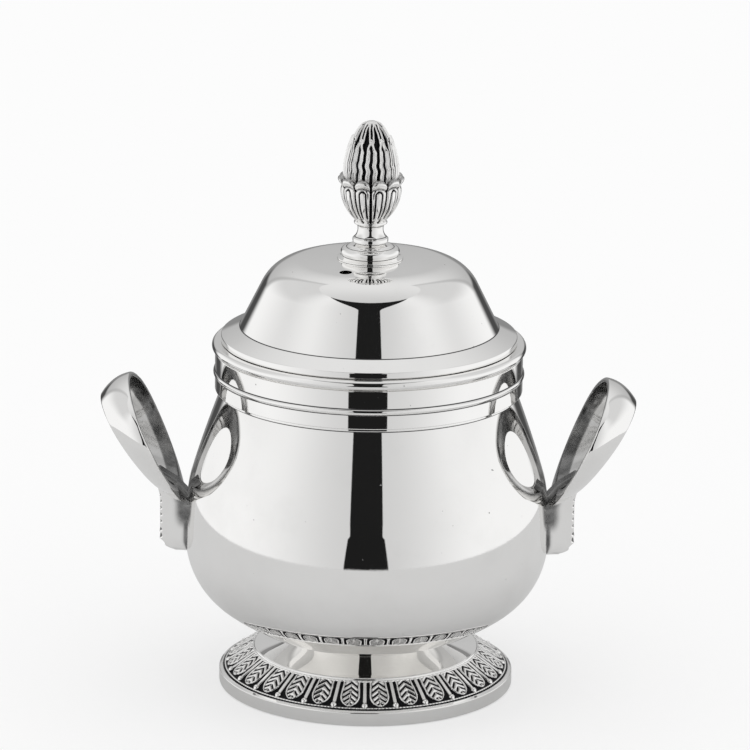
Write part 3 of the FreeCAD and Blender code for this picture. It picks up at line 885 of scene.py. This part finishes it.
def bracket_section(height):
    """One level section of the bracket on the +X side, from the body round its outer face.

    Each spot of it is (out, across, depth), and a negative depth is a dark hollow, or on the
    bracket's side painted shade from root_shade.
    """
    side_steps, corner_steps, face_steps = 12, 8, 28
    start = bracket_root(height)
    outer = bracket_reach(height)
    half = 3.6 + 0.5 * ease(height, 46.0, 57.0)
    corner = min(1.3, (outer - start) * 0.4)
    fillet = 2.6 * (1 - ease(height, 48.0, 56.0))
    section = []
    for step in range(side_steps + 1):
        share = step / side_steps
        flare = fillet * (1 - share) ** 2.2
        out = start + (outer - corner - start) * share
        section.append((out, half + flare, root_shade(share, height)))
    carved = bracket_carving(half, height)
    for step in range(1, corner_steps + 1):
        angle = math.radians(90 - 90 / corner_steps * step)
        depth = carved * ease(step, 2, 7)
        out = outer - corner + (corner + depth) * math.cos(angle)
        section.append((out, half - corner + corner * math.sin(angle), depth))
    flat = half - corner
    for step in range(1, face_steps // 2 + 1):
        across = flat - 2 * flat * step / face_steps
        depth = bracket_carving(across, height)
        section.append((outer + depth, across, depth))
    mirrored = [(out, -across, depth) for out, across, depth in reversed(section[:-1])]
    return section + mirrored


def bracket_surface(first_vertex):
    """Vertices, faces and hollow values of the bracket on the +X side."""
    vertices, hollows, rows = [], [], []
    for row in range(BRACKET_ROWS + 1):
        height = BRACKET_LOW + (BRACKET_TOP - BRACKET_LOW) * row / BRACKET_ROWS
        tuck = 0.9 * (1 - ease(height - BRACKET_LOW, 0, 1.1)) ** 2
        ring = []
        for out, across, depth in bracket_section(height):
            ring.append(first_vertex + len(vertices))
            vertices.append(Vector((out - tuck, across * (1 - tuck / 6), height)))
            # Dark in the carved cuts, and painted shade on the bracket's side from root_shade.
            hollows.append(ease(-depth, 0.12, 0.4))
        rows.append(ring)
    faces = [tuple(reversed(rows[0])), tuple(rows[-1])]
    for here, above in zip(rows, rows[1:]):
        faces += between(here, above)
    return vertices, faces, hollows


def make_handle(name, node, side):
    """One cast handle: a loop that flares towards the bowl on a carved bracket."""
    vertices, faces, hollows = loop_surface()
    more, more_faces, more_hollows = bracket_surface(len(vertices))
    places = [(p.x * side * MM, p.y * MM, p.z * MM) for p in vertices + more]
    mesh = bpy.data.meshes.new(name)
    mesh.from_pydata(places, [], faces + more_faces)
    mesh.shade_smooth()
    layer = mesh.attributes.new("hollow", "FLOAT", "POINT")
    layer.data.foreach_set("value", hollows + more_hollows)
    shell = bmesh.new()
    shell.from_mesh(mesh)
    bmesh.ops.recalc_face_normals(shell, faces=shell.faces)
    shell.to_mesh(mesh)
    shell.free()
    mesh.validate()
    add_piece(name, "bowl", node, mesh, CAST)


# ---- lid


LID_FOOT = low("lid_dome")
CROWN_TOP = high("lid_dome")
DOME_FOOT, DOME_FOOT_RISE, DOME_LEAN = 34.2, 3.9, 26.4
DOME_SIDE, DOME_ROUND, DOME_TURN = 12.8, 11.6, 59.9
LID_EDGE = 1.6
BEZEL_OUTER, BEZEL_WALL = reach("lid_bezel"), 1.0
VENT_ACROSS, VENT_FRONT, VENT_RADIUS = -6.3, -14.5, 1.65


def dome(inset):
    """The dome's outline from its foot to its crown, moved in by the inset."""
    turn = DOME_LEAN + DOME_TURN
    shoulder_round = DOME_ROUND - inset
    foot = on_round((DOME_FOOT, LID_FOOT + DOME_FOOT_RISE), -inset, -DOME_LEAN)
    side = on_round(foot, DOME_SIDE, -DOME_LEAN - 90)
    centre = on_round(side, -shoulder_round, -DOME_LEAN)
    shoulder = on_round(centre, shoulder_round, -turn)
    crown_round = shoulder[0] / math.cos(math.radians(turn))
    crown = shoulder[1] + crown_round * (1 - math.sin(math.radians(turn)))
    return [
        foot,
        side,
        (*shoulder, shoulder_round, "left"),
        (0.0, crown, crown_round, "left"),
    ]


def restore_turned_normals(mesh, samples, is_wall):
    """Give a cut turned mesh its outline's own normals again, except on the wall of the cut."""
    normals, known = [], {}
    for polygon in mesh.polygons:
        wall = is_wall(polygon.center / MM, polygon.normal)
        for loop in polygon.loop_indices:
            spot = mesh.vertices[mesh.loops[loop].vertex_index].co / MM
            if wall:
                normals.append(tuple(polygon.normal))
                continue
            place = (round(math.hypot(spot.x, spot.y), 3), round(spot.z, 3))
            if place not in known:
                known[place] = outline_normal(samples, *place)
            out, up = known[place]
            angle = math.atan2(spot.x, -spot.y)
            normals.append((*around(angle, out), up))
    mesh.shade_smooth()
    mesh.normals_split_custom_set(normals)


def outline_normal(samples, radius, height):
    """The outline's outward direction at the place on it that is nearest to a point."""
    best, found = 1e9, None
    spot = Vector((radius, height))
    for first, second in zip(samples, samples[1:] + samples[:1]):
        start, end = Vector(first[:2]), Vector(second[:2])
        span = end - start
        t = min(1.0, max(0.0, (spot - start).dot(span) / span.length_squared))
        gap = (start + span * t - spot).length_squared
        if gap < best:
            best = gap
            found = Vector(first[2:4]).lerp(Vector(second[2:4]), t)
    return found.normalized()


def make_drill():
    """A closed round bar that stands through the dome where the vent goes."""
    mesh = bpy.data.meshes.new("drill")
    shell = bmesh.new()
    bmesh.ops.create_cone(
        shell,
        cap_ends=True,
        segments=48,
        radius1=VENT_RADIUS * MM,
        radius2=VENT_RADIUS * MM,
        depth=12 * MM,
        matrix=Matrix.Translation(Vector((VENT_ACROSS, VENT_FRONT, CROWN_TOP)) * MM),
    )
    shell.to_mesh(mesh)
    shell.free()
    return linked("drill", mesh)


def make_lid():
    """The lid: a flat flange, a steep dome and a vent hole near its front."""
    inner = dome(SHEET)
    outer_edge = reach("lid_dome")
    corners = [
        (BEZEL_OUTER - BEZEL_WALL, LID_FOOT),
        (outer_edge, LID_FOOT),
        (outer_edge, LID_FOOT + LID_EDGE),
        *dome(0),
        inner[-1][:2],
        *backwards(inner)[1:],
    ]
    samples = soft_outline(corners, 0.2)
    mesh = turned_mesh("lid_cover", samples)
    lid = add_piece("lid_cover", "lid", "lid_dome", mesh, POLISHED)
    drill = make_drill()
    cut = lid.modifiers.new("vent", "BOOLEAN")
    cut.object = drill
    cut.operation = "DIFFERENCE"
    cut.solver = "EXACT"
    graph = bpy.context.evaluated_depsgraph_get()
    holed = bpy.data.meshes.new_from_object(lid.evaluated_get(graph))
    lid.modifiers.clear()
    lid.data = holed
    holed.name = "lid_cover"
    bpy.data.objects.remove(drill)
    vent = Vector((VENT_ACROSS, VENT_FRONT))

    def is_wall(centre, normal):
        near = (Vector(centre[:2]) - vent).length < VENT_RADIUS + 0.05
        return near and abs(normal.z) < 0.3

    restore_turned_normals(holed, samples, is_wall)


def make_bezel():
    """The ring under the lid that keeps it centred in the mouth."""
    foot, top = low("lid_bezel"), high("lid_bezel")
    inner = BEZEL_OUTER - BEZEL_WALL
    corners = [(inner, foot), (BEZEL_OUTER, foot), (BEZEL_OUTER, top), (inner, top)]
    add_turned("lid_ring", "lid", "lid_bezel", corners, 0.25)


# ---- finial


BORE = 1.6
BASE_FOOT, STEM_FOOT, CUP_FOOT = low("finial_base"), low("finial_stem"), low("finial_cup")
CUP_TOP, TIP = high("finial_cup"), high("finial_cone")


def make_finial_base():
    """The finial's base: a thin edge on the dome, a swelling, a step and a shoulder."""
    rim = reach("finial_base")
    corners = [
        (BORE, BASE_FOOT - 0.02),
        (rim, BASE_FOOT - 0.1),
        (rim, BASE_FOOT + 0.3),
        (7.3, BASE_FOOT + 0.75, 3.0, "right"),
        (7.5, BASE_FOOT + 0.95),
        (6.75, BASE_FOOT + 3.0, 1.25, "left"),
        (6.3, BASE_FOOT + 3.05),
        (5.2, STEM_FOOT, 2.2, "left"),
        (BORE, STEM_FOOT),
    ]
    add_turned("finial_foot", "lid", "finial_base", corners, 0.12)


def make_finial_stem():
    """The short baluster: a ring, a waist and a small ring under the cup."""
    ring = reach("finial_stem")
    top = CUP_FOOT
    corners = [
        (BORE, STEM_FOOT),
        (3.9, STEM_FOOT),
        (4.35, STEM_FOOT + 0.6),
        (ring, STEM_FOOT + 0.9),
        (ring, STEM_FOOT + 1.75),
        (4.2, STEM_FOOT + 2.2),
        (3.55, top - 1.35, 3.0, "right"),
        (4.15, top - 1.0),
        (4.15, top - 0.15, 0.5, "left"),
        (3.7, top),
        (BORE, top),
    ]
    add_turned("finial_baluster", "lid", "finial_stem", corners, 0.14)


LOBES = 11
CUP_COLUMNS = 34
CUP_ROWS = 70
LIP_ROWS = 8
CUP_FOOT_RADIUS, CUP_SPREAD = 3.7, 4.8


def cup_relief(angle, index):
    """Relief of the leaf cup: deep joints between leaves, an arched groove on each, curled lips."""
    crown, groove_depth, curl_rise, crease_depth = 0.22, 0.42, 0.35, 0.3
    notch_depth, arch_top, arch_stretch = 1.5, 0.74, 11.5
    turn = angle / FULL_TURN * LOBES
    across = (turn - math.floor(turn) - 0.5) * 2
    share = min(1.0, index / CUP_ROWS)
    width = math.pi * (CUP_FOOT_RADIUS + CUP_SPREAD * share) / LOBES
    joint = 1 - ease((1 - abs(across)) * width, 0.05, 0.42)
    notch = -notch_depth * abs(across) ** 3 * ease(share, 0.72, 1.0)
    if index > CUP_ROWS + LIP_ROWS:
        return 0.0, notch, 1.0
    leg = 0.4 * width
    rise = (share - arch_top) * arch_stretch
    if rise > 0:
        from_arch = abs(math.hypot(across * width, rise) - leg)
    else:
        from_arch = abs(abs(across * width) - leg)
    groove = (1 - ease(from_arch, 0.1, 0.3)) * ease(share, 0.06, 0.2)
    curl = ease(share, 0.86, 0.97) * (1 - across**4)
    crease = bump(share - 0.86, 0.07) * (1 - joint)
    proud = crown * (1 - across * across) - joint - groove_depth * groove
    proud += curl_rise * curl - crease_depth * crease
    hollow = max(joint, 0.95 * groove, 0.55 * bump(share - 0.87, 0.06))
    if index > CUP_ROWS:
        hollow = max(hollow, 0.45)
    return proud, notch, hollow


def make_cup():
    """The cup of curled leaves that holds the bud."""
    seat, seat_radius = CUP_TOP - 1.6, 6.9
    lip_out, lip_up, lip_half, lip_rise = 7.65, CUP_TOP - 0.35, 0.55, 0.35
    corners = [(CUP_FOOT_RADIUS, CUP_FOOT), (7.8, seat, 11.5, "left"), (8.2, CUP_TOP - 0.3)]
    outline = resampled(soft_outline(corners, closed=False), CUP_ROWS)
    for step in range(1, LIP_ROWS + 1):
        angle = math.pi * step / LIP_ROWS
        out, up = math.cos(angle), math.sin(angle)
        outline.append((lip_out + lip_half * out, lip_up + lip_rise * up, out, up, 0.0))
    outline.append((seat_radius, seat, 0.0, 1.0, 0.0))
    outline.append((BORE, seat, 0.0, 1.0, 0.0))
    outline.append((BORE, CUP_FOOT, 0.0, -1.0, 0.0))
    add_relief("leaf_cup", "lid", "finial_cup", outline, LOBES * CUP_COLUMNS, cup_relief)


BUD_COLUMNS = 40
BUD_ROWS = 120
BUD_RADIUS = 7.0
LOWER_TIER = {"top": 0.66, "blunt": 0.72, "half": 0.79}
UPPER_TIER = {"top": 0.95, "blunt": 0.88, "half": 0.84}
UPPER_TIER_SUNK = 0.35
GROOVE_DEPTH = 0.9


def scale_height(tier, across, share, width):
    """Relief of one bud scale: a wavy raised rim, a shallow hollow inside and a groove outside."""
    top, blunt = tier["top"], tier["blunt"]
    point = max(0.0, (share - top * blunt) / (top * (1 - blunt)))
    room = tier["half"] * max(0.0, 1 - point) ** 0.6
    wave = 0.07 * math.sin(share * 26) + 0.04 * math.sin(share * 47 + 1)
    inward = (room - abs(across + wave * (1 - point))) * width
    if share > top:
        return -GROOVE_DEPTH
    if inward < 0:
        return -GROOVE_DEPTH * ease(-inward, 0.0, 0.25)
    rim_rise, rim_in, rim_half, blade_depth = 0.4, 0.4, 0.55, 0.5
    return rim_rise * bump(inward - rim_in, rim_half) - blade_depth * ease(inward, 0.5, 1.25)


def bud_relief(angle, index):
    """Relief of the bud: a lower tier of pointed scales over an upper one, and a plain cap."""
    share = index / BUD_ROWS
    radius = 7.6 * (1 - share**2.2) + 1.0
    width = math.pi * radius / LOBES
    turn = angle / FULL_TURN * LOBES
    lower = scale_height(LOWER_TIER, (turn - round(turn)) * 2, share, width)
    upper = scale_height(UPPER_TIER, (turn - math.floor(turn) - 0.5) * 2, share, width)
    height = max(lower, upper - UPPER_TIER_SUNK)
    calm = 1 - ease(share, 0.84, 0.95)
    return height * calm, 0.0, ease(-height, 0.0, 0.5) * calm


def make_bud():
    """The bud that rises out of the cup."""
    foot = low("finial_cone")
    tip_half, tip_rise = 3.4, 1.7
    tip_round = (tip_half**2 + tip_rise**2) / (2 * tip_rise)
    corners = [
        (BUD_RADIUS, foot),
        (BUD_RADIUS, foot + 3.0),
        (tip_half, TIP - tip_rise, 22.0, "left"),
        (0.0, TIP, tip_round, "left"),
    ]
    outline = resampled(soft_outline(corners, 1.2, closed=False), BUD_ROWS)
    outline.append((0.0, foot, 0.0, -1.0, 0.0))
    add_relief("bud", "lid", "finial_cone", outline, LOBES * BUD_COLUMNS, bud_relief)


# ---- studio


def make_disc(name, radius, height, material):
    """A flat staged disc under the bowl."""
    mesh = bpy.data.meshes.new(name)
    shell = bmesh.new()
    place = Matrix.Translation((0, 0, height))
    bmesh.ops.create_circle(shell, cap_ends=True, segments=128, radius=radius, matrix=place)
    shell.to_mesh(mesh)
    shell.free()
    mesh.materials.append(material)
    disc = linked(name, mesh)
    return disc


def paper(name, tone, glow=0.0):
    """Plain matt paper of one grey, with a very faint grain and, if asked, lit from below."""
    material, tree, shader = node_tree(name)
    grain = noise_node(tree, 60, 2)
    light, shade = (tone,) * 3, (tone * 0.995,) * 3
    tree.links.new(mix_colours(tree, grain, shade, light), shader.inputs["Base Color"])
    shader.inputs["Roughness"].default_value = 0.9
    shader.inputs["Specular IOR Level"].default_value = 0.0
    shader.inputs["Emission Color"].default_value = (1, 1, 1, 1)
    shader.inputs["Emission Strength"].default_value = glow
    return material


def make_floor():
    """A pale floor for the eye, and a grey table top that only the silver's reflections see."""
    floor = make_disc("floor", 6.0, -0.0002, paper("pale_paper", 0.5, 0.475))
    floor.visible_glossy = False
    table = make_disc("table_top", 0.240, -0.0001, paper("grey_paper", 0.66))
    table.visible_camera = False
    table.visible_diffuse = False
    table.visible_shadow = False


def make_world():
    """White for the eye and the floor; for the silver, a tent with a dark slot in front.

    Azimuth is counted in degrees from the front and elevation in degrees from the horizon.
    """
    overhead_from, overhead_full = 58.5, 60
    slot_edge, slot_tone = 0.004, 0.0125
    world = bpy.data.worlds.new("studio")
    bpy.context.scene.world = world
    world.use_nodes = True
    tree = world.node_tree
    background = tree.nodes["Background"]
    place = tree.nodes.new("ShaderNodeTexCoord")
    split = tree.nodes.new("ShaderNodeSeparateXYZ")
    tree.links.new(place.outputs["Generated"], split.inputs[0])
    x, y, z = (split.outputs[name] for name in "XYZ")

    def degrees(socket):
        return math_node(tree, "MULTIPLY", socket, 180 / math.pi)

    toward = math_node(tree, "MULTIPLY", y, -1)
    azimuth = degrees(math_node(tree, "ARCTAN2", x, toward))
    elevation = degrees(math_node(tree, "ARCSINE", z))
    off_front = math_node(tree, "ABSOLUTE", azimuth)

    # side panels, brighter away from the slot and gone behind the bowl
    panel = map_range(tree, off_front, 8, 85, 0.66, 0.96)
    dimmer = map_range(tree, off_front, 55, 100, 1.0, 0.72)
    dimmer = blend(tree, map_range(tree, elevation, 5, 32, 0, 1), 1.0, dimmer)
    panel = math_node(tree, "MULTIPLY", panel, dimmer)
    behind = map_range(tree, off_front, 138, 150, 0, 1)
    dark_back = map_range(tree, off_front, 158, 168, 0.07, 0.26)
    panel = blend(tree, behind, panel, dark_back)

    # backdrop above the table behind the bowl, and the panel overhead
    backdrop = map_range(tree, elevation, 5, 60, 0.50, 0.80)
    above_back = math_node(tree, "MULTIPLY", behind, map_range(tree, elevation, 3, 9, 0, 1))
    panel = blend(tree, above_back, panel, backdrop)
    seam = map_range(tree, elevation, overhead_from, overhead_full, 0, 1)
    overhead = map_range(tree, y, -0.6, 0.4, 0.62, 0.80)
    panel = blend(tree, seam, panel, overhead)

    # the dark slot that the camera looks through, wider towards its top
    middle = math_node(tree, "ADD", x, map_range(tree, elevation, -32, -14, 0.035, 0.005))
    side_way = math_node(tree, "ABSOLUTE", middle)
    low_half = map_range(tree, elevation, -16, -1, 0.24, 0.175)
    half = math_node(tree, "ADD", low_half, map_range(tree, elevation, 38, 60, 0, 0.30))
    inside = math_node(tree, "SUBTRACT", half, side_way)
    slot = map_range(tree, inside, -slot_edge, slot_edge, 0, 1)
    in_front = math_node(tree, "LESS_THAN", y, 0.0)
    slot = math_node(tree, "MULTIPLY", slot, in_front)
    below_top = map_range(tree, elevation, overhead_from, overhead_full, 1, 0)
    slot = math_node(tree, "MULTIPLY", slot, below_top)
    seen = blend(tree, slot, panel, slot_tone)

    path = tree.nodes.new("ShaderNodeLightPath")
    strength = blend(tree, path.outputs["Is Glossy Ray"], 1.0, seen)
    background.inputs["Color"].default_value = (1, 1, 1, 1)
    tree.links.new(strength, background.inputs["Strength"])


def make_camera():
    """A long lens in front of the bowl, looking a little down, rolled slightly."""
    away, height, across = 1.267, 0.4354, 0.00164
    pitch, roll = 74.516, 0.70
    camera = linked("camera", bpy.data.cameras.new("camera"))
    camera.data.sensor_width = 36.0
    camera.data.lens = 238.6
    camera.data.clip_start = 0.05
    camera.data.clip_end = 50
    tilt, turn = math.radians(pitch), math.radians(roll)
    aim = Matrix.Rotation(tilt, 4, "X") @ Matrix.Rotation(turn, 4, "Z")
    camera.rotation_mode = "QUATERNION"
    camera.rotation_quaternion = aim.to_quaternion()
    camera.location = (across, -away, height)
    scene = bpy.context.scene
    scene.camera = camera
    scene.view_settings.view_transform = "Standard"
    scene.cycles.max_bounces = 24
    scene.cycles.glossy_bounces = 20


make_bowl()
make_collar()
make_rim()
make_foot_ring()
make_foot_flare()
make_frieze()
make_handle("handle_right_cast", "handle_right", 1)
make_handle("handle_left_cast", "handle_left", -1)
make_lid()
make_bezel()
make_finial_base()
make_finial_stem()
make_cup()
make_bud()
for hardware in ("finial_stud", "finial_washer", "finial_nut"):
    for material_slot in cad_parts[hardware].material_slots:
        material_slot.material = STEEL
make_floor()
make_world()
make_camera()
